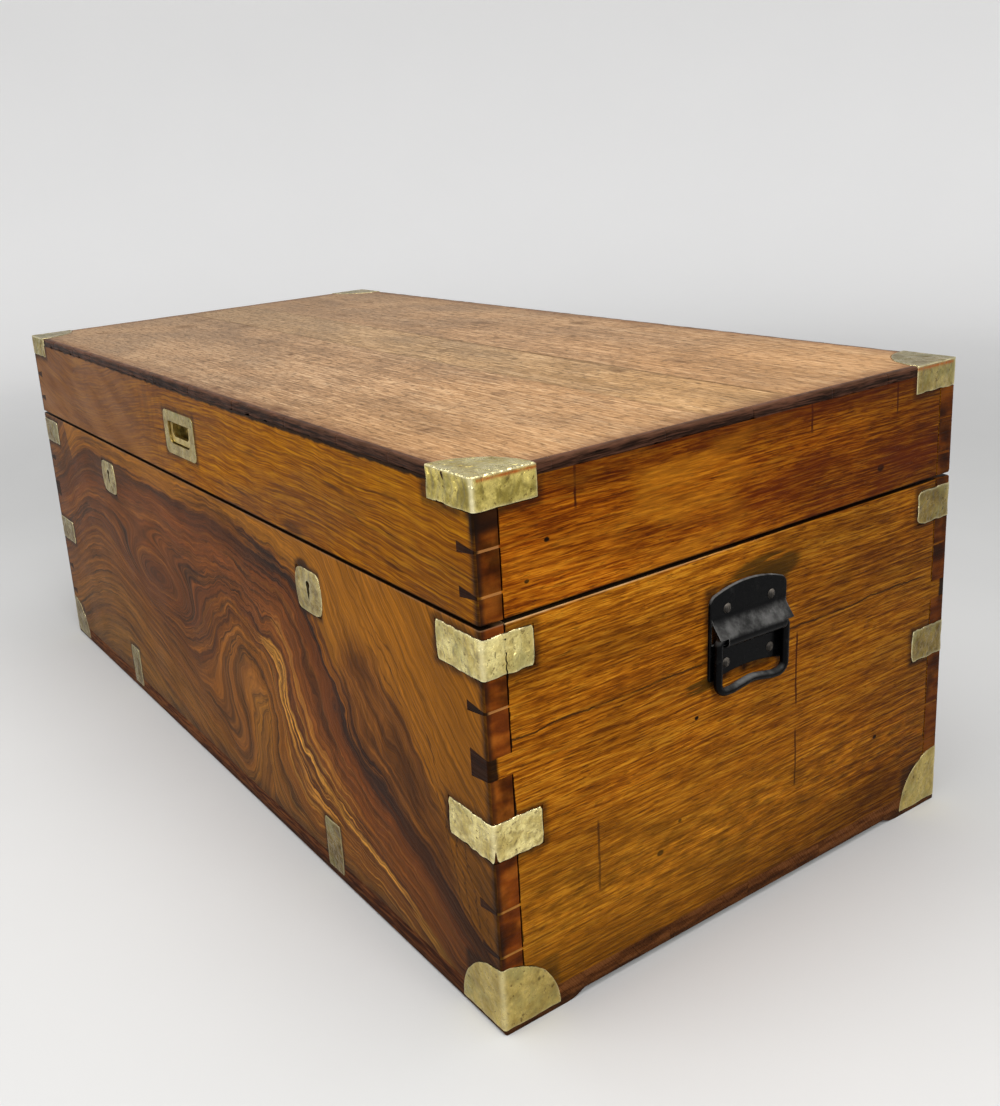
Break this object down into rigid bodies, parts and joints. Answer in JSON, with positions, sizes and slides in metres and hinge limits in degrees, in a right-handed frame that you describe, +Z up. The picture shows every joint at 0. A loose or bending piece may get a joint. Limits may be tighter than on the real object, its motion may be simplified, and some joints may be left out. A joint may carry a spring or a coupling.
{
  "type": "campaign chest",
  "caption": "Dovetailed camphorwood campaign trunk with hinged lid, let-in brass corners and straps, chest locks, flush lid handle and iron drop handles on the ends",
  "frame": {"origin": "on the floor under the middle of the chest", "axes": "+X along the length to the right end, -Y out of the front, +Z up"},
  "size_m": [1.081, 0.529, 0.4405],
  "materials": {
    "camphorwood": "worn waxed",
    "bottom_wood": "dull",
    "faded_top_wood": "faded matte",
    "dark_edging_wood": "dark worn",
    "tarnished_brass": "tarnished",
    "inner_brass": "dull",
    "black_iron": "black japanned",
    "screw_steel": "dark"
  },
  "bodies": {
    "base": {"base_front": "camphorwood", "base_back": "camphorwood", "base_end_left": "camphorwood", "base_end_right": "camphorwood", "runner_front": "bottom_wood", "runner_back": "bottom_wood", "bottom_plank_1": "bottom_wood", "bottom_plank_2": "bottom_wood", "bottom_plank_3": "bottom_wood", "bottom_plank_4": "bottom_wood", "upper_strap_front_left": "tarnished_brass", "upper_strap_front_right": "tarnished_brass", "upper_strap_back_left": "tarnished_brass", "upper_strap_back_right": "tarnished_brass", "middle_strap_front_left": "tarnished_brass", "middle_strap_front_right": "tarnished_brass", "middle_strap_back_left": "tarnished_brass", "middle_strap_back_right": "tarnished_brass", "bottom_cap_front_left": "tarnished_brass", "bottom_cap_front_right": "tarnished_brass", "bottom_cap_back_left": "tarnished_brass", "bottom_cap_back_right": "tarnished_brass", "edge_strap_left": "tarnished_brass", "edge_strap_right": "tarnished_brass", "escutcheon_left": "tarnished_brass", "escutcheon_right": "tarnished_brass", "lock_case_left": "inner_brass", "lock_case_right": "inner_brass", "hinge_base_leaf_left": "inner_brass", "hinge_base_leaf_right": "inner_brass", "hinge_pins": "inner_brass", "handle_plate_left": "black_iron", "handle_plate_right": "black_iron", "handle_screws": "screw_steel"},
    "lid": {"lid_front": "camphorwood", "lid_back": "camphorwood", "lid_end_left": "camphorwood", "lid_end_right": "camphorwood", "lid_plank_front": "faded_top_wood", "lid_plank_middle": "faded_top_wood", "lid_plank_rear": "faded_top_wood", "lid_moulding_front": "dark_edging_wood", "lid_moulding_back": "dark_edging_wood", "lid_moulding_left": "dark_edging_wood", "lid_moulding_right": "dark_edging_wood", "lid_cap_front_left": "tarnished_brass", "lid_cap_front_right": "tarnished_brass", "lid_cap_back_left": "tarnished_brass", "lid_cap_back_right": "tarnished_brass", "hinge_lid_leaf_left": "inner_brass", "hinge_lid_leaf_right": "inner_brass", "lock_strike_left": "inner_brass", "lock_strike_right": "inner_brass", "lift_pan": "tarnished_brass"},
    "lift_bail": {"lift_bail": "tarnished_brass"},
    "handle_bail_left": {"handle_bail_left": "black_iron"},
    "handle_bail_right": {"handle_bail_right": "black_iron"},
    "lock_bolt_left": {"lock_bolt_left": "inner_brass"},
    "lock_bolt_right": {"lock_bolt_right": "inner_brass"}
  },
  "joints": [
    {"name": "lid_hinge", "type": "hinge", "parent": "base", "child": "lid", "pos_m": [0, 0.2598, 0.3335], "axis": [-1, 0, 0], "range_deg": [0, 100]},
    {"name": "lift_bail_pivot", "type": "hinge", "parent": "lid", "child": "lift_bail", "pos_m": [0, -0.2605, 0.3915], "axis": [-1, 0, 0], "range_deg": [0, 90]},
    {"name": "handle_bail_left_pivot", "type": "hinge", "parent": "base", "child": "handle_bail_left", "pos_m": [-0.534, -0.0025, 0.2585], "axis": [0, 0.9995, -0.0314], "range_deg": [0, 75]},
    {"name": "handle_bail_right_pivot", "type": "hinge", "parent": "base", "child": "handle_bail_right", "pos_m": [0.534, -0.0025, 0.2585], "axis": [0, -0.9995, 0.0314], "range_deg": [0, 75]},
    {"name": "lock_bolt_left_slide", "type": "slide", "parent": "base", "child": "lock_bolt_left", "axis": [1, 0, 0], "range_m": [0, 0.008]},
    {"name": "lock_bolt_right_slide", "type": "slide", "parent": "base", "child": "lock_bolt_right", "axis": [1, 0, 0], "range_m": [0, 0.008]}
  ]
}
